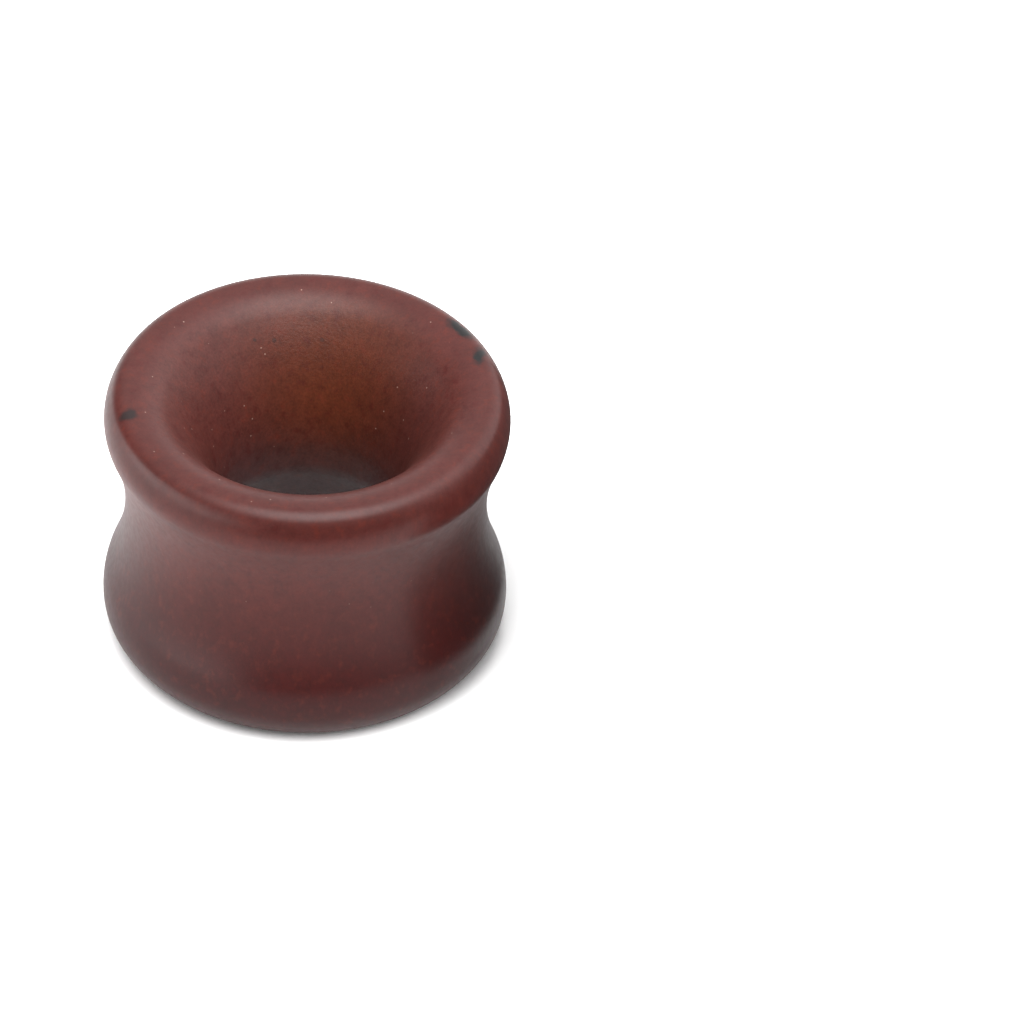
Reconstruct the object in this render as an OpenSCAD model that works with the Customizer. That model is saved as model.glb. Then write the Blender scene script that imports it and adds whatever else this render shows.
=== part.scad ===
// Double-flared flesh tunnel, turned in one piece from a dark reddish hardwood.
// It stands on its back rim: the origin is the centre of the plane it rests on,
// +Z runs along the bore towards the front mouth, millimetres throughout.
//
// One outline is worked out from the arcs that a turner's gouge would leave, each touching
// the next without a corner, and revolved once round the bore's axis.
// The front mouth opens in one long sweep, like a trumpet's bell. The back mouth is nearly
// a cone, and its rim has a flat band to stand on and a fuller shoulder.

/* [Wearing size] */
// Diameter of the saddle at its narrowest, the stretched lobe's own size
gauge_d = 20; // [19:0.1:20.2]
// Widest diameter of both flares
flare_d = 22.4; // [22:0.1:23]
// Diameter of the straight part of the bore
bore_d = 9.5; // [9:0.1:10.4]

/* [Saddle] */
// Radius of the hollow between the flares, in section
saddle_r = 12; // [11:0.1:15]

/* [Front rim] */
// Radius of the front flare's side, in section
front_flare_r = 2.6; // [2.3:0.1:3.2]
// Radius of the front rim's outer corner, in section
front_rim_r = 1; // [0.8:0.1:1.4]
// How far the front flare turns inwards before its rim's corner takes over, in degrees
front_rim_turn = 33; // [28:1:40]
// Width of the flat band left on the front rim's crown
front_crown_w = 0.1; // [0.1:0.1:0.6]

/* [Back rim] */
// Radius of the back flare's side, in section
back_flare_r = 4.5; // [3.6:0.1:4.8]
// Radius of the back rim's outer corner, in section
back_rim_r = 2.5; // [2.1:0.1:2.8]
// How far the back flare turns inwards before its rim's corner takes over, in degrees
back_rim_turn = 3; // [1:1:8]
// Width of the flat band left on the back rim's crown
back_crown_w = 0.4; // [0.1:0.1:0.6]

/* [Front mouth] */
// Radius of the front lip, in section
front_lip_r = 2.8; // [2.4:0.1:3.2]
// How far the front lip turns down before the mouth's long sweep takes over, in degrees
front_lip_turn = 48; // [44:1:54]
// Slope off the bore's axis at which the front mouth's sweep meets the bore, in degrees
front_taper = 6; // [3:0.5:12]

/* [Back mouth] */
// Radius of the back lip, in section
back_lip_r = 1; // [0.8:0.1:1.2]
// How far the back lip turns down before the mouth's long sweep takes over, in degrees
back_lip_turn = 65; // [63:1:66]
// Slope off the bore's axis at which the back mouth's sweep meets the bore, in degrees
back_taper = 20.5; // [19.5:0.5:22]

/* [Finish] */
// Degrees of an arc that one straight step of the outline stands for
arc_step = 3; // [2:1:8]
// Facets of a full turn, in previews and meshes
turn_facets = 180; // [90:10:360]

/* [Hidden] */

gauge_r = gauge_d / 2;
flare_max_r = flare_d / 2;
bore_r = bore_d / 2;
waist = [gauge_r, 0];
saddle_c = [gauge_r + saddle_r, 0];

// The point of a circle at an angle from its centre
function polar(centre, radius, angle) = centre + radius * [cos(angle), sin(angle)];

// Points along an arc up to its far end, without the near end that the last arc gave
function arc(centre, radius, from, to) =
    let (steps = ceil(abs(to - from) / arc_step))
    [for (i = [1 : steps]) polar(centre, radius, from + (to - from) * i / steps)];

// Angle of the line from one point to another
function bearing(from, to) = atan2(to.y - from.y, to.x - from.x);

// Centre of a flare's side: as wide as the flare, and touching the saddle from outside
function flare_centre(flare_r) =
    let (x = flare_max_r - flare_r)
    [x, sqrt(pow(saddle_r + flare_r, 2) - pow(saddle_c.x - x, 2))];

// Centre of a rim's outer corner, which touches the flare from inside where it takes over
function rim_centre(flare_r, rim_r, turn) = polar(flare_centre(flare_r), flare_r - rim_r, turn);

// Height of a rim's crown above the waist
function crown_height(flare_r, rim_r, turn) = rim_centre(flare_r, rim_r, turn).y + rim_r;

// Outline of a rim from the waist out over the flare and up to its crown, the waist at height zero
function rim_outline(flare_r, rim_r, turn) =
    let (
        flare_c = flare_centre(flare_r),
        saddle_end = bearing(saddle_c, flare_c)
    )
    concat(
        arc(saddle_c, saddle_r, 180, saddle_end),
        arc(flare_c, flare_r, saddle_end - 180, turn),
        arc(rim_centre(flare_r, rim_r, turn), rim_r, turn, 90)
    );

// Outline of a mouth from its crown in over the lip and down the sweep to the bore. The sweep
// touches the lip from outside, and is just so wide that it meets the bore at the taper.
function mouth_outline(crown, lip_r, lip_turn, taper) =
    let (
        lip_c = crown - [0, lip_r],
        lip_end = polar(lip_c, lip_r, 90 + lip_turn),
        sweep_r = (lip_end.x - bore_r) / (cos(taper) - sin(lip_turn)),
        sweep_c = polar(lip_c, lip_r - sweep_r, 90 + lip_turn)
    )
    concat(
        [crown],
        arc(lip_c, lip_r, 90, 90 + lip_turn),
        arc(sweep_c, sweep_r, 90 + lip_turn, 180 - taper)
    );

// The inner edge of a rim's crown, where its mouth begins
function crown_edge(flare_r, rim_r, turn, crown_w) =
    [rim_centre(flare_r, rim_r, turn).x - crown_w, crown_height(flare_r, rim_r, turn)];

// The same points the other way round and below the waist
function underside(points) = [for (i = [len(points) - 1 : -1 : 0]) [points[i].x, -points[i].y]];

front_outline = concat(
    rim_outline(front_flare_r, front_rim_r, front_rim_turn),
    mouth_outline(
        crown_edge(front_flare_r, front_rim_r, front_rim_turn, front_crown_w),
        front_lip_r, front_lip_turn, front_taper
    )
);
back_outline = concat(
    rim_outline(back_flare_r, back_rim_r, back_rim_turn),
    mouth_outline(
        crown_edge(back_flare_r, back_rim_r, back_rim_turn, back_crown_w),
        back_lip_r, back_lip_turn, back_taper
    )
);
waist_z = crown_height(back_flare_r, back_rim_r, back_rim_turn);

// Length of the straight throat between the two mouths
throat_l = front_outline[len(front_outline) - 1].y + back_outline[len(back_outline) - 1].y;
assert(throat_l > 0, "the two mouths meet: give them a wider slope or a wider bore");

// The wall's section, to the right of the axis, with the waist at height zero
module wall_section() {
    polygon(concat([waist], front_outline, underside(back_outline)));
}

// The whole turned piece, standing on its back rim
module tunnel_body() {
    color("#6b3732")
        translate([0, 0, waist_z])
            rotate_extrude($fn = turn_facets) wall_section();
}

tunnel_body();
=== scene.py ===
"""A turned wooden flesh tunnel, standing on its back rim on a white studio floor.

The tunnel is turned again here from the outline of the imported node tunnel_body, more finely, and is
dressed in an oiled reddish hardwood. Sizes are metres and angles are degrees. The wood's patterns
are laid out in millimetres.
"""

from __future__ import annotations

import logging
import math
from dataclasses import dataclass, field
from enum import Enum
from typing import Any

import bmesh
import bpy
from mathutils import Matrix, Vector

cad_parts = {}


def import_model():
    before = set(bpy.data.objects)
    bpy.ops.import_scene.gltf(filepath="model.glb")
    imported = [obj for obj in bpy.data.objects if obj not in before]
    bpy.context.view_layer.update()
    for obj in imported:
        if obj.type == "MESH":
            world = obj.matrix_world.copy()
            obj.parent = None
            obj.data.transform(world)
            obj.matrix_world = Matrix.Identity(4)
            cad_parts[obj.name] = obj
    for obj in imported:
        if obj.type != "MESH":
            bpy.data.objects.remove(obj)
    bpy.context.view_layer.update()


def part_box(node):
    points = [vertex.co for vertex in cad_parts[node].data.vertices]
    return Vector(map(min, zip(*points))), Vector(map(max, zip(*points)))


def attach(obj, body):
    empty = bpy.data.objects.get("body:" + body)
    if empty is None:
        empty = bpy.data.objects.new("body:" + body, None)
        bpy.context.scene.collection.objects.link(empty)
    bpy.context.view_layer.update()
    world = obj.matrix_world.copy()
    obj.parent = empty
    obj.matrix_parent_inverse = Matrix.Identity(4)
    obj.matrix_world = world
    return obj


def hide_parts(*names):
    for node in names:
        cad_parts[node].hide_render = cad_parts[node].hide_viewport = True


Colour = tuple[float, float, float, float]
Triple = tuple[float, float, float]
Pair = tuple[float, float]

MM = 0.001
TO_MILLIMETRES: Triple = (1.0 / MM, 1.0 / MM, 1.0 / MM)
FLATTENED: Triple = (1.0, 1.0, 0.0)
NOISE_MIDDLE = 0.5
WHITE: Colour = (1.0, 1.0, 1.0, 1.0)
BLACK: Colour = (0.0, 0.0, 0.0, 1.0)
log = logging.getLogger("flesh_tunnel")


class End(Enum):
    """Which end of the tunnel is meant, with the way that it faces along the bore."""

    FRONT = 1
    BACK = -1


class Blend(Enum):
    """What a Mix node mixes, with the numbers of its two inputs and of its output."""

    FLOAT = (2, 3, 0)
    RGBA = (6, 7, 2)


def polar(centre: Vector, radius: float, degrees: float) -> Vector:
    """Finds a point on a circle in the plane of a section.

    Args:
        centre: The circle's centre, as distance from the bore's axis and height.
        radius: The circle's radius.
        degrees: Where on the circle, counted up from straight outwards.

    Returns:
        The point, as distance from the bore's axis and height.
    """
    angle = math.radians(degrees)
    return centre + radius * Vector((math.cos(angle), math.sin(angle)))


def placed_object(made: bmesh.types.BMesh, name: str) -> bpy.types.Object:
    """Puts a finished shape into the scene, unturned and at the origin.

    Args:
        made: The shape, which is freed.
        name: What its mesh and its object are called.

    Returns:
        The new object, not dressed yet.
    """
    mesh = bpy.data.meshes.new(name)
    made.to_mesh(mesh)
    made.free()
    piece = bpy.data.objects.new(name, mesh)
    bpy.context.scene.collection.objects.link(piece)
    return piece


class Lathe:
    """Draws half a section with bmesh operators and turns it about the Z axis."""

    def __init__(self) -> None:
        """Starts with nothing drawn."""
        self.mesh = bmesh.new()
        self.tip: bmesh.types.BMVert | None = None

    def start(self, point: Vector) -> None:
        """Sets the pen down at a point, given as distance from the axis and height."""
        self.tip = self.mesh.verts.new((point.x, 0.0, point.y))

    def line_to(self, point: Vector) -> None:
        """Draws a straight line from the pen's place.

        Args:
            point: Where it ends, as distance from the axis and height.
        """
        made = bmesh.ops.extrude_vert_indiv(self.mesh, verts=[self.tip])
        self.tip = made["verts"][0]
        self.tip.co = (point.x, 0.0, point.y)

    def arc(self, centre: Vector, degrees: float, step: float) -> None:
        """Carries the line on round an arc.

        Args:
            centre: The arc's centre, as distance from the axis and height.
            degrees: How far the arc goes, positive from outwards to upwards.
            step: About how much of it one edge stands for, in degrees.
        """
        made = bmesh.ops.spin(
            self.mesh,
            geom=[self.tip],
            cent=(centre.x, 0.0, centre.y),
            axis=(0.0, -1.0, 0.0),
            angle=math.radians(degrees),
            steps=max(1, round(abs(degrees) / step)),
        )
        self.tip = next(v for v in made["geom_last"] if isinstance(v, bmesh.types.BMVert))

    def join(self, first: bmesh.types.BMVert, last: bmesh.types.BMVert, rounding: float, steps: int) -> None:
        """Joins two ends of the line with a straight edge and rounds both corners.

        Args:
            first: One end.
            last: The other end.
            rounding: How much of each edge the rounding takes.
            steps: How many edges each rounded corner has.
        """
        self.mesh.edges.new((first, last))
        bmesh.ops.bevel(
            self.mesh,
            geom=[first, last],
            offset=rounding,
            segments=steps,
            profile=0.5,
            affect="VERTICES",
            material=-1,
        )

    def turn(self, steps: int) -> bmesh.types.BMesh:
        """Turns the drawn section once round the Z axis.

        Args:
            steps: How many facets a full turn has.

        Returns:
            The closed, smooth mesh, with its faces pointing outwards.
        """
        same_place = 0.001 * MM
        bmesh.ops.remove_doubles(self.mesh, verts=self.mesh.verts, dist=same_place)
        bmesh.ops.spin(
            self.mesh,
            geom=[*self.mesh.verts, *self.mesh.edges],
            cent=(0.0, 0.0, 0.0),
            axis=(0.0, 0.0, 1.0),
            angle=math.tau,
            steps=steps,
            use_merge=True,
        )
        bmesh.ops.remove_doubles(self.mesh, verts=self.mesh.verts, dist=same_place)
        bmesh.ops.recalc_face_normals(self.mesh, faces=self.mesh.faces)
        for face in self.mesh.faces:
            face.smooth = True
        return self.mesh


@dataclass(frozen=True)
class RimShape:
    """How one end of the tunnel is turned, in section.

    Attributes:
        flare_radius: Radius of the flare's side.
        corner_radius: Radius of the rim's outer corner.
        corner_from: How far the flare turns inwards before the corner takes over.
        crown_width: Width of the flat band on the crown.
        lip_radius: Radius of the rim's inner corner.
        lip_turn: How far the lip turns down before the mouth's long sweep takes over.
        taper: Slope off the bore's axis at which the mouth's sweep meets the bore.
    """

    flare_radius: float
    corner_radius: float
    corner_from: float
    crown_width: float
    lip_radius: float
    lip_turn: float
    taper: float


@dataclass
class Tunnel:
    """The tunnel itself: one turned piece of wood.

    Attributes:
        gauge_radius: Radius of the saddle at its narrowest.
        widest_radius: Radius of both flares at their widest.
        bore_radius: Radius of the straight part of the bore.
        saddle_radius: Radius of the hollow between the flares, in section.
        throat_rounding: How much of each edge the rounding of the throat's corners takes.
        throat_steps: How many edges each of those rounded corners has, in section.
        rims: The shape of each end.
        arc_step: How much of a small arc one edge of the section stands for, in degrees.
        sweep_step: The same for the mouths' long sweeps.
        turn_steps: Facets of a full turn.
    """

    gauge_radius: float = 10.0 * MM
    widest_radius: float = 11.2 * MM
    bore_radius: float = 4.75 * MM
    saddle_radius: float = 12.0 * MM
    throat_rounding: float = 0.45 * MM
    throat_steps: int = 6
    rims: dict[End, RimShape] = field(
        default_factory=lambda: {
            End.FRONT: RimShape(
                flare_radius=2.6 * MM,
                corner_radius=1.0 * MM,
                corner_from=33.0,
                crown_width=0.1 * MM,
                lip_radius=2.8 * MM,
                lip_turn=48.0,
                taper=6.0,
            ),
            End.BACK: RimShape(
                flare_radius=4.5 * MM,
                corner_radius=2.5 * MM,
                corner_from=3.0,
                crown_width=0.4 * MM,
                lip_radius=1.0 * MM,
                lip_turn=65.0,
                taper=20.5,
            ),
        }
    )
    arc_step: float = 3.0
    sweep_step: float = 1.5
    turn_steps: int = 256

    def draw_end(self, lathe: Lathe, end: End) -> bmesh.types.BMVert:
        """Draws one end's outline, from the waist out over the rim and in to the throat.

        Args:
            lathe: Where it is drawn, with the waist at height zero.
            end: Which end.

        Returns:
            The outline's last point, on the throat's edge.
        """
        rim, way = self.rims[end], end.value
        saddle = Vector((self.gauge_radius + self.saddle_radius, 0.0))
        flare_x = self.widest_radius - rim.flare_radius
        reach = self.saddle_radius + rim.flare_radius
        flare = Vector((flare_x, math.sqrt(reach**2 - (saddle.x - flare_x) ** 2)))
        corner = polar(flare, rim.flare_radius - rim.corner_radius, rim.corner_from)
        crown = corner.y + rim.corner_radius
        lip = Vector((corner.x - rim.crown_width, crown - rim.lip_radius))
        lip_end = polar(lip, rim.lip_radius, 90.0 + rim.lip_turn)
        sweep_radius = (lip_end.x - self.bore_radius) / (
            math.cos(math.radians(rim.taper)) - math.sin(math.radians(rim.lip_turn))
        )
        sweep = polar(lip, rim.lip_radius - sweep_radius, 90.0 + rim.lip_turn)
        turned_in = math.degrees(math.asin(flare.y / reach))

        def placed(point: Vector) -> Vector:
            """Turns a point of the front end into the same point of the end that is drawn."""
            return Vector((point.x, way * point.y))

        lathe.start(Vector((self.gauge_radius, 0.0)))
        lathe.arc(placed(saddle), -way * turned_in, self.arc_step)
        lathe.arc(placed(flare), way * (turned_in + rim.corner_from), self.arc_step)
        lathe.arc(placed(corner), way * (90.0 - rim.corner_from), self.arc_step)
        lathe.line_to(placed(Vector((lip.x, crown))))
        lathe.arc(placed(lip), way * rim.lip_turn, self.arc_step)
        lathe.arc(placed(sweep), way * (90.0 - rim.taper - rim.lip_turn), self.sweep_step)
        return lathe.tip

    def build(self) -> bpy.types.Object:
        """Turns the tunnel's mesh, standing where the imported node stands.

        Returns:
            The new object, not dressed yet.
        """
        lathe = Lathe()
        front_edge = self.draw_end(lathe, End.FRONT)
        back_edge = self.draw_end(lathe, End.BACK)
        lathe.join(front_edge, back_edge, self.throat_rounding, self.throat_steps)
        turned = lathe.turn(self.turn_steps)
        floor_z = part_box("tunnel_body")[0].z
        lowest = min(v.co.z for v in turned.verts)
        bmesh.ops.translate(turned, vec=(0.0, 0.0, floor_z - lowest), verts=turned.verts)
        return placed_object(turned, "turned_tunnel")

    def dress(self, piece: bpy.types.Object, wood: RubbedHardwood) -> None:
        """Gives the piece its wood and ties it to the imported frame.

        Args:
            piece: The turned tunnel.
            wood: The finish that it takes.
        """
        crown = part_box("tunnel_body")[1].z / MM
        piece.data.materials.append(wood.material(crown))
        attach(piece, "root")
        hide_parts("tunnel_body")


class Graph:
    """A thin hand on a node tree, so that a finish reads as the steps that make it."""

    def __init__(self, owner: bpy.types.Material | bpy.types.World) -> None:
        """Empties the owner's node tree and takes hold of it.

        Args:
            owner: The material or world that the nodes belong to.
        """
        owner.use_nodes = True
        self.tree = owner.node_tree
        self.tree.nodes.clear()

    def add(self, kind: str, inputs: dict[str | int, Any] | None = None, **settings: Any) -> bpy.types.Node:
        """Adds a node.

        Args:
            kind: The node's type, without the ShaderNode in front.
            inputs: What goes into its sockets, by name or number: a value, or a socket to link.
            **settings: The node's own settings.

        Returns:
            The new node.
        """
        node = self.tree.nodes.new(f"ShaderNode{kind}")
        for name, value in settings.items():
            setattr(node, name, value)
        for socket, value in (inputs or {}).items():
            if isinstance(value, bpy.types.NodeSocket):
                self.tree.links.new(value, node.inputs[socket])
            else:
                node.inputs[socket].default_value = value
        return node

    def math(self, operation: str, first: Any, second: Any = 0.0, third: Any = 0.0) -> bpy.types.NodeSocket:
        """Adds a sum, product or other step of arithmetic and gives its result."""
        return self.add("Math", {0: first, 1: second, 2: third}, operation=operation).outputs[0]

    def total(self, terms: list[Any]) -> bpy.types.NodeSocket:
        """Adds up any number of terms.

        Args:
            terms: What is added up.

        Returns:
            The sum's socket.
        """
        result = terms[0]
        for term in terms[1:]:
            result = self.math("ADD", result, term)
        return result

    def rise(self, value: Any, low: float, high: float, to_low: float = 0.0, to_high: float = 1.0) -> Any:
        """Turns a value into a smooth step.

        Args:
            value: The socket that the step reads.
            low: Where the step begins.
            high: Where it ends.
            to_low: What it gives before it begins.
            to_high: What it gives after it ends.

        Returns:
            The step's socket.
        """
        inputs = {"Value": value, "From Min": low, "From Max": high, "To Min": to_low, "To Max": to_high}
        return self.add("MapRange", inputs, interpolation_type="SMOOTHSTEP").outputs["Result"]

    def vector(self, operation: str, first: Any, second: Any) -> bpy.types.Node:
        """Adds a step of arithmetic on two vectors and gives its node."""
        return self.add("VectorMath", {0: first, 1: second}, operation=operation)

    def dot(self, first: Any, second: Any) -> bpy.types.NodeSocket:
        """Gives the dot product of two vectors."""
        return self.vector("DOT_PRODUCT", first, second).outputs["Value"]

    def length(self, vector: Any) -> bpy.types.NodeSocket:
        """Measures a vector and gives its length."""
        return self.add("VectorMath", {0: vector}, operation="LENGTH").outputs["Value"]

    def scaled(self, vector: Any, factor: Any) -> bpy.types.NodeSocket:
        """Multiplies a vector or a colour by a number."""
        return self.add("VectorMath", {0: vector, "Scale": factor}, operation="SCALE").outputs["Vector"]

    def stretched(self, vector: Any, scale: Triple) -> bpy.types.NodeSocket:
        """Stretches a place along its axes and gives the new place."""
        inputs = {"Vector": vector, "Scale": scale}
        return self.add("Mapping", inputs, vector_type="POINT").outputs["Vector"]

    def noise(self, vector: Any, scale: float = 1.0, detail: float = 2.0, roughness: float = 0.5) -> Any:
        """Adds a soft noise.

        Args:
            vector: The place that it is read at.
            scale: How many of its lumps go to one unit.
            detail: How many finer layers it has.
            roughness: How strong each finer layer is beside the one before.

        Returns:
            The noise's socket, which lies round NOISE_MIDDLE.
        """
        inputs = {"Vector": vector, "Scale": scale, "Detail": detail, "Roughness": roughness}
        return self.add("TexNoise", inputs).outputs[0]

    def mix(self, factor: Any, first: Any, second: Any, blend: Blend = Blend.RGBA) -> bpy.types.NodeSocket:
        """Mixes two colours or two numbers.

        Args:
            factor: How much of the second there is.
            first: The first colour or number.
            second: The second one.
            blend: Whether they are colours or numbers.

        Returns:
            The socket of the mixture.
        """
        first_input, second_input, output = blend.value
        inputs = {0: factor, first_input: first, second_input: second}
        return self.add("Mix", inputs, data_type=blend.name, clamp_factor=True).outputs[output]

    def seen_or_not(self, seen: Any, unseen: Any) -> bpy.types.NodeSocket:
        """Gives one number to the camera's own rays and another to all other light."""
        by_camera = self.add("LightPath").outputs["Is Camera Ray"]
        return self.mix(by_camera, unseen, seen, Blend.FLOAT)

    def finish(self, shader: bpy.types.Node) -> None:
        """Lets a shader be what the material shows."""
        self.add("OutputMaterial", {"Surface": shader.outputs[0]})


@dataclass(frozen=True)
class Spot:
    """A place on the wood, in millimetres, as the patterns read it.

    Attributes:
        place: The place itself.
        up: Its height.
        off_axis: Its distance from the bore's axis.
        inside: How far inside a mouth it is, from 0.0 to 1.0.
        crown: Height of the front rim's crown.
    """

    place: bpy.types.NodeSocket
    up: bpy.types.NodeSocket
    off_axis: bpy.types.NodeSocket
    inside: bpy.types.NodeSocket
    crown: float


@dataclass(frozen=True)
class Patch:
    """A round patch on the front mouth's far wall, which fades away from its middle, in millimetres.

    Attributes:
        across: Where its middle is along X.
        behind: Where its middle is along Y.
        depth: How far its middle is below the front rim's crown.
        full: How far from its middle it is still full.
        faded: How far from its middle it has faded out.
    """

    across: float
    behind: float
    depth: float
    full: float
    faded: float

    def spread(self, graph: Graph, spot: Spot) -> bpy.types.NodeSocket:
        """Works out how much of the patch there is.

        Args:
            graph: The tree that it is added to.
            spot: Where on the wood.

        Returns:
            How much there is, from 0.0 to 1.0.
        """
        middle = (self.across, self.behind, spot.crown - self.depth)
        away = graph.vector("DISTANCE", spot.place, middle).outputs["Value"]
        return graph.rise(away, self.full, self.faded, 1.0, 0.0)


@dataclass(frozen=True)
class Zones:
    """The wood's plain colours with painted shade, a painted reflection and painted light among them, and
    where one gives way to the next, in millimetres.

    Attributes:
        shaded_foot: Painted shade, a darker, redder colour towards the back rim that stands in for the shade
            low on the tunnel.
        flank: Colour of the outer wall below the front flare.
        heart: Colour of the front rim.
        painted_reflection: Painted reflection, the greyer colour deep in the hole that stands in for the
            grey sheen mirrored there.
        warm: The browner colour of the mouths.
        painted_light: Painted light, a warmer and brighter colour in a patch on the front mouth's far wall,
            where the light falls.
        shaded_foot_top: The height up to which the painted shade at the foot is full.
        flank_depth: How far below the crown the flank is full.
        heart_depths: How far below the crown the heart begins and is full.
        painted_reflection_depths: How far below the crown the painted reflection is still full and has
            ended.
        painted_light_patch: Where the patch of painted light is.
    """

    shaded_foot: Colour = (0.0260, 0.0018, 0.0015, 1.0)
    flank: Colour = (0.0700, 0.0098, 0.0070, 1.0)
    heart: Colour = (0.0500, 0.0102, 0.0082, 1.0)
    painted_reflection: Colour = (0.0540, 0.0210, 0.0200, 1.0)
    warm: Colour = (0.0590, 0.0150, 0.0120, 1.0)
    painted_light: Colour = (0.0700, 0.0150, 0.0055, 1.0)
    shaded_foot_top: float = 3.0
    flank_depth: float = 3.5
    heart_depths: Pair = (2.2, 0.8)
    painted_reflection_depths: Pair = (9.5, 5.0)
    painted_light_patch: Patch = Patch(across=1.5, behind=6.9, depth=4.0, full=1.0, faded=8.0)

    def colour(self, graph: Graph, spot: Spot) -> bpy.types.NodeSocket:
        """Mixes the wood's colour, from the painted shade at the foot to the rim and into the mouths, with
        the painted reflection deep in the hole and the painted light on the front mouth's far wall.

        Args:
            graph: The tree that it is added to.
            spot: Where on the wood.

        Returns:
            The colour's socket.
        """
        heart_begins, heart_full = (spot.crown - depth for depth in self.heart_depths)
        reflection_full, reflection_ended = (spot.crown - depth for depth in self.painted_reflection_depths)
        flank_full = spot.crown - self.flank_depth
        # Painted shade: the wood turns darker and redder towards the back rim, standing in for the shade low
        # on the tunnel.
        outer = graph.mix(graph.rise(spot.up, self.shaded_foot_top, flank_full), self.shaded_foot, self.flank)
        outer = graph.mix(graph.rise(spot.up, heart_begins, heart_full), outer, self.heart)
        # Painted reflection: deep in the hole the mouth's colour turns greyer, standing in for the grey
        # sheen mirrored there.
        mouth = graph.mix(graph.rise(spot.up, reflection_full, reflection_ended), self.painted_reflection, self.warm)
        # Painted light: a warmer, brighter patch on the far wall of the front mouth, standing in for the
        # light that falls there.
        painted_light_amount = graph.math("MULTIPLY", spot.inside, self.painted_light_patch.spread(graph, spot))
        return graph.mix(painted_light_amount, graph.mix(spot.inside, outer, mouth), self.painted_light)


@dataclass(frozen=True)
class Flecks:
    """Dark flecks in the wood and bright ones between them, from one noise.

    Attributes:
        deep: Colour of the dark red flecks.
        ember: Colour of the brighter, orange-red flecks.
        scale: How many flecks go to a millimetre along X, Y and Z.
        detail: How many finer layers the noise has.
        raggedness: How strong each finer layer is beside the one before.
        dark_over: Where in the noise the dark flecks begin and are full.
        dark_cover: How fully they cover the wood.
        bright_under: Where in the noise the bright flecks are still full and have ended.
        bright_cover: How fully they cover the wood.
    """

    deep: Colour = (0.0420, 0.0035, 0.0030, 1.0)
    ember: Colour = (0.0850, 0.0120, 0.0060, 1.0)
    scale: Triple = (1.9, 1.9, 1.5)
    detail: float = 3.0
    raggedness: float = 0.6
    dark_over: Pair = (0.48, 0.78)
    dark_cover: float = 0.55
    bright_under: Pair = (0.22, 0.50)
    bright_cover: float = 0.40

    def laid_over(self, graph: Graph, spot: Spot, colour: Any) -> bpy.types.NodeSocket:
        """Lays the flecks over the wood.

        Args:
            graph: The tree that they are added to.
            spot: Where on the wood.
            colour: The wood's colour without them.

        Returns:
            The colour with them.
        """
        lumps = graph.noise(graph.stretched(spot.place, self.scale), 1.0, self.detail, self.raggedness)
        dark = graph.rise(lumps, *self.dark_over, 0.0, self.dark_cover)
        bright = graph.rise(lumps, *self.bright_under, self.bright_cover, 0.0)
        return graph.mix(bright, graph.mix(dark, colour, self.deep), self.ember)


@dataclass(frozen=True)
class Figure:
    """One layer of the wood's figure, lumps that lighten and darken it.

    Attributes:
        across: How many lumps go to a millimetre across the grain.
        along: How many go to a millimetre along the grain.
        detail: How many finer layers it has.
        outside: How strongly it shows on the outer wall.
        inside: How strongly it shows in the mouths, where the wood is less finely sanded.
    """

    across: float
    along: float
    detail: float
    outside: float
    inside: float


@dataclass(frozen=True)
class Mark:
    """A dark oval mark in the wood, a stain or an open pore, in millimetres and degrees.

    Attributes:
        bearing: Where it is round the bore, counted from +X towards +Y.
        radius: How far its middle is from the bore's axis.
        depth: How far its middle is below the front rim's crown.
        turn: How far its long way is turned from +X towards +Y.
        half_size: Half its length and half its width.
        strength: How fully it covers the wood at its middle.
    """

    bearing: float
    radius: float
    depth: float
    turn: float
    half_size: Pair
    strength: float

    def distance(self, graph: Graph, spot: Spot) -> bpy.types.NodeSocket:
        """Measures how far a place is from the mark's middle.

        Args:
            graph: The tree that it is added to.
            spot: Where on the wood.

        Returns:
            The distance, counted so that the mark's plain oval is 1.0 away.
        """
        bearing = math.radians(self.bearing)
        half_length, half_width = self.half_size
        along_x, along_y = self.radius * math.cos(bearing), self.radius * math.sin(bearing)
        inputs = {
            "Vector": spot.place,
            "Location": (along_x, along_y, spot.crown - self.depth),
            "Rotation": (0.0, 0.0, math.radians(self.turn)),
            "Scale": (half_length, half_width, half_length),
        }
        return graph.length(graph.add("Mapping", inputs, vector_type="TEXTURE").outputs["Vector"])


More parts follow.
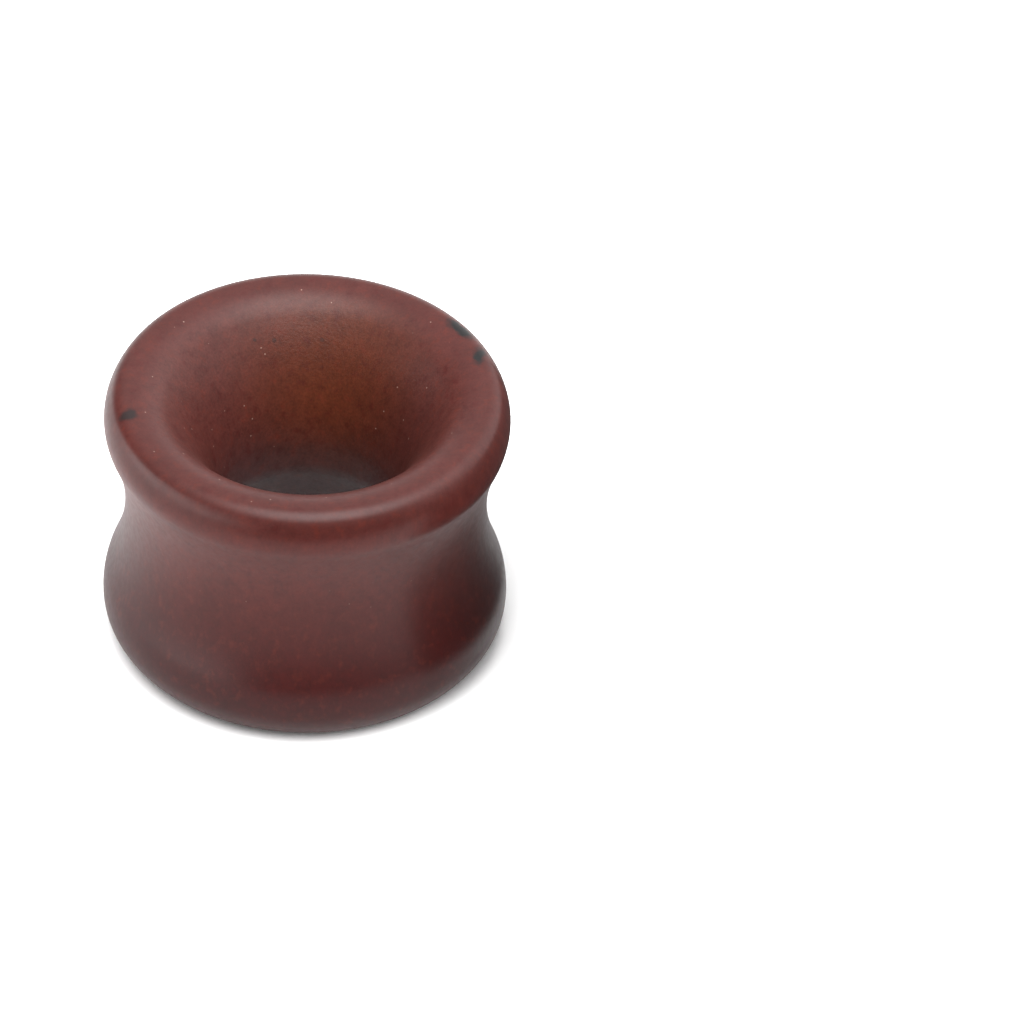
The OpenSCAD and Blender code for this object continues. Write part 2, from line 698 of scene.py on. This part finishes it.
@dataclass(frozen=True)
class Marks:
    """The three stains on the front rim and three pores in its mouth.

    Attributes:
        stain: Their colour.
        each: The marks, the stains first.
        edge: How far from its middle a mark is still full and has ended, beside its own size.
        lumps: How many lumps of the ragged outline go to a millimetre.
        raggedness: How far the lumps push the outline in and out, beside the mark's own size.
    """

    stain: Colour = (0.0030, 0.0065, 0.0070, 1.0)
    each: tuple[Mark, ...] = (
        Mark(bearing=35.0, radius=10.12, depth=0.0, turn=-50.0, half_size=(1.08, 0.44), strength=0.9),
        Mark(bearing=21.0, radius=10.0, depth=0.0, turn=84.0, half_size=(0.86, 0.36), strength=0.9),
        Mark(bearing=194.0, radius=10.05, depth=0.0, turn=42.0, half_size=(0.58, 0.46), strength=0.75),
        Mark(bearing=107.0, radius=6.98, depth=1.90, turn=0.0, half_size=(0.13, 0.12), strength=0.5),
        Mark(bearing=116.0, radius=7.13, depth=1.69, turn=0.0, half_size=(0.15, 0.10), strength=0.5),
        Mark(bearing=85.0, radius=6.93, depth=1.96, turn=0.0, half_size=(0.12, 0.10), strength=0.4),
    )
    edge: Pair = (0.50, 1.25)
    lumps: float = 2.2
    raggedness: float = 1.1

    def laid_over(self, graph: Graph, spot: Spot, colour: Any) -> bpy.types.NodeSocket:
        """Lays the marks over the wood.

        Args:
            graph: The tree that they are added to.
            spot: Where on the wood.
            colour: The wood's colour without them.

        Returns:
            The colour with them.
        """
        lumps = graph.math("SUBTRACT", graph.noise(spot.place, self.lumps), NOISE_MIDDLE)
        ragged = graph.math("MULTIPLY", lumps, self.raggedness)
        covered: Any = 0.0
        for mark in self.each:
            away = graph.math("ADD", mark.distance(graph, spot), ragged)
            covered = graph.math("MAXIMUM", covered, graph.rise(away, *self.edge, mark.strength, 0.0))
        return graph.mix(covered, colour, self.stain)


@dataclass(frozen=True)
class Dust:
    """Single specks of dust in the front mouth and on its rim, in millimetres.

    Attributes:
        speck: Their colour.
        cells: How many cells, with one speck each, go to a millimetre.
        size: How far from a speck's middle it is still full and has ended, in cells.
        cover: How fully a speck covers the wood.
        depths: How far below the crown there is none yet, and where there is all of it.
        rim: How far from the bore's axis there is still all of it, and where there is none.
    """

    speck: Colour = (0.42, 0.28, 0.23, 1.0)
    cells: float = 1.1
    size: Pair = (0.028, 0.062)
    cover: float = 0.36
    depths: Pair = (9.0, 6.0)
    rim: Pair = (9.7, 10.3)

    def laid_over(self, graph: Graph, spot: Spot, colour: Any) -> bpy.types.NodeSocket:
        """Scatters the dust over the wood.

        Args:
            graph: The tree that it is added to.
            spot: Where on the wood.
            colour: The wood's colour without it.

        Returns:
            The colour with it.
        """
        away = graph.add("TexVoronoi", {"Vector": spot.place, "Scale": self.cells}).outputs["Distance"]
        none_yet, all_of_it = (spot.crown - depth for depth in self.depths)
        settled = graph.rise(spot.up, none_yet, all_of_it)
        specks = graph.math("MULTIPLY", graph.rise(away, *self.size, self.cover, 0.0), settled)
        covered = graph.math("MULTIPLY", specks, graph.rise(spot.off_axis, *self.rim, 1.0, 0.0))
        return graph.mix(covered, colour, self.speck)


@dataclass(frozen=True)
class Relief:
    """The surface's small ups and downs, in millimetres.

    Attributes:
        fibres: How many fibres go to a millimetre along X, Y and Z.
        fibre_height: How high they stand.
        dents: How many of the mouths' dents go to a millimetre.
        dent_raggedness: How strong each finer layer of dents is beside the one before.
        dent_heights: How deep they are outside the chatter and in the middle of it.
        chatter: Where the turning tool has left deeper dents.
    """

    fibres: Triple = (7.5, 7.5, 1.6)
    fibre_height: float = 0.0003
    dents: float = 5.0
    dent_raggedness: float = 0.6
    dent_heights: Pair = (0.007, 0.016)
    chatter: Patch = Patch(across=0.3, behind=6.9, depth=1.8, full=1.0, faded=4.5)

    def height(self, graph: Graph, spot: Spot) -> bpy.types.NodeSocket:
        """Works out the surface's height.

        Args:
            graph: The tree that it is added to.
            spot: Where on the wood.

        Returns:
            The height, in millimetres.
        """
        fibres = graph.noise(graph.stretched(spot.place, self.fibres))
        dents = graph.noise(spot.place, self.dents, roughness=self.dent_raggedness)
        deep = graph.rise(self.chatter.spread(graph, spot), 0.0, 1.0, *self.dent_heights)
        raised = graph.math("MULTIPLY", fibres, self.fibre_height)
        return graph.math("MULTIPLY_ADD", dents, graph.math("MULTIPLY", spot.inside, deep), raised)


@dataclass(frozen=True)
class Sheen:
    """How the oiled surface mirrors the light.

    Attributes:
        specular: How strongly it mirrors.
        roughness: How dull the mirrored light is.
        play: How far the dullness goes up and down from place to place.
        lumps: How many of those places go to a millimetre.
        between: Where in the noise the dullness is least and greatest.
        in_mouth: How much duller the mouths are.
    """

    specular: float = 0.235
    roughness: float = 0.39
    play: float = 0.02
    lumps: float = 3.0
    between: Pair = (0.3, 0.7)
    in_mouth: float = 0.06

    def dullness(self, graph: Graph, spot: Spot) -> bpy.types.NodeSocket:
        """Works out the surface's roughness.

        Args:
            graph: The tree that it is added to.
            spot: Where on the wood.

        Returns:
            The roughness, a little uneven and higher in a mouth.
        """
        least, greatest = self.roughness - self.play, self.roughness + self.play
        uneven = graph.rise(graph.noise(spot.place, self.lumps, detail=1.0), *self.between, least, greatest)
        return graph.math("MULTIPLY_ADD", spot.inside, self.in_mouth, uneven)


@dataclass(frozen=True)
class RubbedHardwood:
    """Dense reddish hardwood, sanded fine and rubbed with oil, its grain along the bore.

    Patterns are laid out in millimetres, with +Z along the grain.

    Attributes:
        mouth_edge: How far from the bore's axis all is mouth, and where all is rim and flank.
        zones: The plain colours from foot to rim and in the mouths, with painted shade at the foot, a
            painted reflection deep in the hole and painted light on the front mouth's far wall.
        flecks: The dark and the bright flecks.
        figures: The layers of figure, from coarse to fine.
        marks: The stains and pores.
        dust: The specks of dust.
        relief: The surface's small ups and downs.
        sheen: How the surface mirrors.
    """

    mouth_edge: Pair = (7.6, 9.4)
    zones: Zones = Zones()
    flecks: Flecks = Flecks()
    figures: tuple[Figure, ...] = (
        Figure(across=0.45, along=0.15, detail=2.0, outside=0.35, inside=0.30),
        Figure(across=1.60, along=1.20, detail=2.0, outside=0.40, inside=0.50),
        Figure(across=5.50, along=2.40, detail=1.0, outside=0.22, inside=0.20),
        Figure(across=8.50, along=7.00, detail=1.0, outside=0.35, inside=0.60),
    )
    marks: Marks = Marks()
    dust: Dust = Dust()
    relief: Relief = Relief()
    sheen: Sheen = Sheen()

    def spot(self, graph: Graph, crown: float) -> Spot:
        """Lays out what the patterns read.

        Args:
            graph: The tree that it is added to.
            crown: Height of the front rim's crown, in millimetres.

        Returns:
            The place on the wood.
        """
        place = graph.stretched(graph.add("TexCoord").outputs["Object"], TO_MILLIMETRES)
        up = graph.add("SeparateXYZ", {"Vector": place}).outputs["Z"]
        off_axis = graph.length(graph.vector("MULTIPLY", place, FLATTENED).outputs["Vector"])
        inside = graph.rise(off_axis, *self.mouth_edge, 1.0, 0.0)
        return Spot(place, up, off_axis, inside, crown)

    def shade(self, graph: Graph, spot: Spot) -> bpy.types.NodeSocket:
        """Adds up the layers of figure.

        Args:
            graph: The tree that they are added to.
            spot: Where on the wood.

        Returns:
            How light the wood is there, round 1.0.
        """
        shade: Any = 1.0
        for figure in self.figures:
            lumps = graph.stretched(spot.place, (figure.across, figure.across, figure.along))
            lump = graph.math("SUBTRACT", graph.noise(lumps, detail=figure.detail), NOISE_MIDDLE)
            strength = graph.rise(spot.inside, 0.0, 1.0, figure.outside, figure.inside)
            shade = graph.math("MULTIPLY_ADD", lump, strength, shade)
        return shade

    def material(self, crown: float) -> bpy.types.Material:
        """Builds the wood's nodes.

        Args:
            crown: Height of the front rim's crown, in millimetres.

        Returns:
            The finished material.
        """
        wood = bpy.data.materials.new("rubbed_hardwood")
        graph = Graph(wood)
        spot = self.spot(graph, crown)
        colour = self.zones.colour(graph, spot)
        colour = self.flecks.laid_over(graph, spot, colour)
        colour = graph.scaled(colour, self.shade(graph, spot))
        colour = self.marks.laid_over(graph, spot, colour)
        colour = self.dust.laid_over(graph, spot, colour)
        bump = graph.add("Bump", {"Distance": MM, "Height": self.relief.height(graph, spot)})
        inputs = {
            "Base Color": colour,
            "Roughness": self.sheen.dullness(graph, spot),
            "Specular IOR Level": self.sheen.specular,
            "Normal": bump.outputs["Normal"],
        }
        graph.finish(graph.add("BsdfPrincipled", inputs))
        return wood


@dataclass(frozen=True)
class ProductCamera:
    """The camera: far off with a long lens, looking down at the tunnel.

    Attributes:
        elevation: How high above the horizon it stands.
        distance: How far it is from the point that it aims at.
        lens: Its focal length in millimetres.
        sensor: The width of its sensor in millimetres.
        reach: How far off the nearest and the farthest thing that it sees may be.
        roll: How far the picture's horizon is tipped.
        aim: The point that it aims at, on the floor beside and behind the tunnel.
    """

    elevation: float = 40.0
    distance: float = 728.0 * MM
    lens: float = 454.5
    sensor: float = 36.0
    reach: Pair = (0.05, 20.0)
    roll: float = 1.63
    aim: Triple = (11.4 * MM, 9.82 * MM, 0.0)

    def build(self) -> None:
        """Makes the camera and gives it to the scene."""
        data = bpy.data.cameras.new("product_camera")
        data.lens = self.lens
        data.sensor_width = self.sensor
        data.clip_start, data.clip_end = self.reach
        camera = bpy.data.objects.new("product_camera", data)
        camera.matrix_world = (
            Matrix.Translation(self.aim)
            @ Matrix.Rotation(math.radians(90.0 - self.elevation), 4, "X")
            @ Matrix.Rotation(math.radians(self.roll), 4, "Z")
            @ Matrix.Translation((0.0, 0.0, self.distance))
        )
        bpy.context.scene.collection.objects.link(camera)
        bpy.context.scene.camera = camera


@dataclass(frozen=True)
class StudioFloor:
    """The plain white floor, a wide sheet of paper.

    Attributes:
        half_width: Half the sheet's width.
        front: How far in front of the bore's axis it ends, short of the dark end of the studio.
        shown: How white the camera sees it.
        bounced: How much of the light it throws back onto the tunnel.
    """

    half_width: float = 1.0
    front: float = 50.0 * MM
    shown: float = 1.0
    bounced: float = 0.70

    def build(self) -> None:
        """Lays the floor at height zero."""
        sheet = bmesh.new()
        bmesh.ops.create_grid(sheet, x_segments=1, y_segments=1, size=self.half_width)
        bmesh.ops.translate(sheet, vec=(0.0, self.half_width - self.front, 0.0), verts=sheet.verts)
        paper = bpy.data.materials.new("white_paper")
        graph = Graph(paper)
        graph.finish(graph.add("BsdfDiffuse", {"Color": graph.seen_or_not(self.shown, self.bounced)}))
        floor = placed_object(sheet, "studio_floor")
        floor.data.materials.append(paper)


@dataclass(frozen=True)
class ShadeCard:
    """A small dark card that hangs close at the right, unseen by the camera, and darkens that side.

    Attributes:
        away: How far it hangs from the bore's axis.
        width: Its width.
        height: Its height.
        lifted: How far it hangs above the floor.
        density: How much it stops of the light that meets it.
    """

    away: float = 13.5 * MM
    width: float = 24.0 * MM
    height: float = 15.0 * MM
    lifted: float = 1.5 * MM
    density: float = 0.9

    def build(self) -> None:
        """Hangs the card upright beside the tunnel."""
        sheet = bmesh.new()
        bmesh.ops.create_grid(sheet, x_segments=1, y_segments=1, size=0.5)
        bmesh.ops.scale(sheet, vec=(self.height, self.width, 1.0), verts=sheet.verts)
        bmesh.ops.rotate(sheet, matrix=Matrix.Rotation(math.radians(90.0), 3, "Y"), verts=sheet.verts)
        bmesh.ops.translate(sheet, vec=(self.away, 0.0, self.lifted + self.height / 2), verts=sheet.verts)
        felt = bpy.data.materials.new("black_felt")
        graph = Graph(felt)
        black = graph.add("BsdfDiffuse", {"Color": BLACK}).outputs[0]
        clear = graph.add("BsdfTransparent").outputs[0]
        graph.finish(graph.add("MixShader", {0: self.density, 1: clear, 2: black}))
        card = placed_object(sheet, "shade_card")
        card.data.materials.append(felt)
        card.visible_camera = False


@dataclass(frozen=True)
class Wall:
    """A softly lit wall of the studio.

    Heights are sines of the angle above the horizon, and spreads are cosines of the angle off its middle.

    Attributes:
        towards: Which way the wall is from the tunnel.
        strength: How bright it is at its middle, with 1.0 for white.
        begins: The spread at which it begins.
        full: The spread inside which it has its full strength.
        low: The height up to which it has its full strength.
        top: The height at which it has faded out.
    """

    towards: Triple
    strength: float
    begins: float
    full: float
    low: float
    top: float


@dataclass(frozen=True)
class StudioLight:
    """The studio round the tunnel: a softbox overhead, a ceiling and lit walls, dark towards the camera.

    Heights are sines of the angle above the horizon.

    Attributes:
        softbox: Strength of the softbox overhead, with 1.0 for white.
        softbox_towards: Which way its middle is from the tunnel.
        softbox_core: How far from its middle it is at full strength.
        softbox_edge: How far from its middle it has faded out.
        ceiling: Strength of the ceiling round the softbox.
        ceiling_heights: The heights at which the ceiling begins and is full.
        walls: The lit walls: the back wall, a window low at the front left, and a patch high at the right.
        horizon: The heights below which all is dark and above which all is lit.
    """

    softbox: float = 7.0
    softbox_towards: Triple = (0.09, -0.30, 0.95)
    softbox_core: float = 18.0
    softbox_edge: float = 34.0
    ceiling: float = 1.6
    ceiling_heights: Pair = (0.35, 0.8)
    walls: tuple[Wall, ...] = (
        Wall(towards=(0.35, 0.93, 0.0), strength=1.6, begins=0.45, full=0.9, low=0.25, top=0.75),
        Wall(towards=(-0.96, -0.28, 0.0), strength=12.0, begins=0.65, full=0.97, low=0.0, top=0.30),
        Wall(towards=(0.8, 0.1, 0.6), strength=1.8, begins=0.6, full=0.97, low=0.8, top=1.0),
    )
    horizon: Pair = (-0.03, 0.0)

    def build(self) -> None:
        """Makes the world, which is plain white where the camera sees it."""
        world = bpy.data.worlds.new("soft_studio")
        graph = Graph(world)
        direction = graph.add("TexCoord").outputs["Generated"]
        height = graph.add("SeparateXYZ", {"Vector": direction}).outputs["Z"]
        middle = tuple(Vector(self.softbox_towards).normalized())
        edge, core = (math.cos(math.radians(a)) for a in (self.softbox_edge, self.softbox_core))
        lights = [
            graph.rise(graph.dot(direction, middle), edge, core, 0.0, self.softbox),
            graph.rise(height, *self.ceiling_heights, 0.0, self.ceiling),
        ]
        for wall in self.walls:
            spread = graph.dot(direction, wall.towards)
            lit = graph.rise(spread, wall.begins, wall.full, 0.0, wall.strength)
            lights.append(graph.math("MULTIPLY", lit, graph.rise(height, wall.low, wall.top, 1.0, 0.0)))
        lit = graph.math("MULTIPLY", graph.total(lights), graph.rise(height, *self.horizon))
        sky = graph.add("Background", {"Color": WHITE, "Strength": graph.seen_or_not(1.0, lit)})
        graph.add("OutputWorld", {"Surface": sky.outputs["Background"]})
        bpy.context.scene.world = world


def main() -> None:
    """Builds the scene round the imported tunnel."""
    logging.basicConfig(level=logging.INFO, format="%(name)s: %(message)s")
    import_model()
    scene = bpy.context.scene
    scene.view_settings.view_transform = "Standard"
    ProductCamera().build()
    StudioFloor().build()
    ShadeCard().build()
    StudioLight().build()
    tunnel = Tunnel()
    piece = tunnel.build()
    tunnel.dress(piece, RubbedHardwood())
    log.info("%s: %d faces", piece.name, len(piece.data.polygons))


if __name__ == "__main__":
    main()
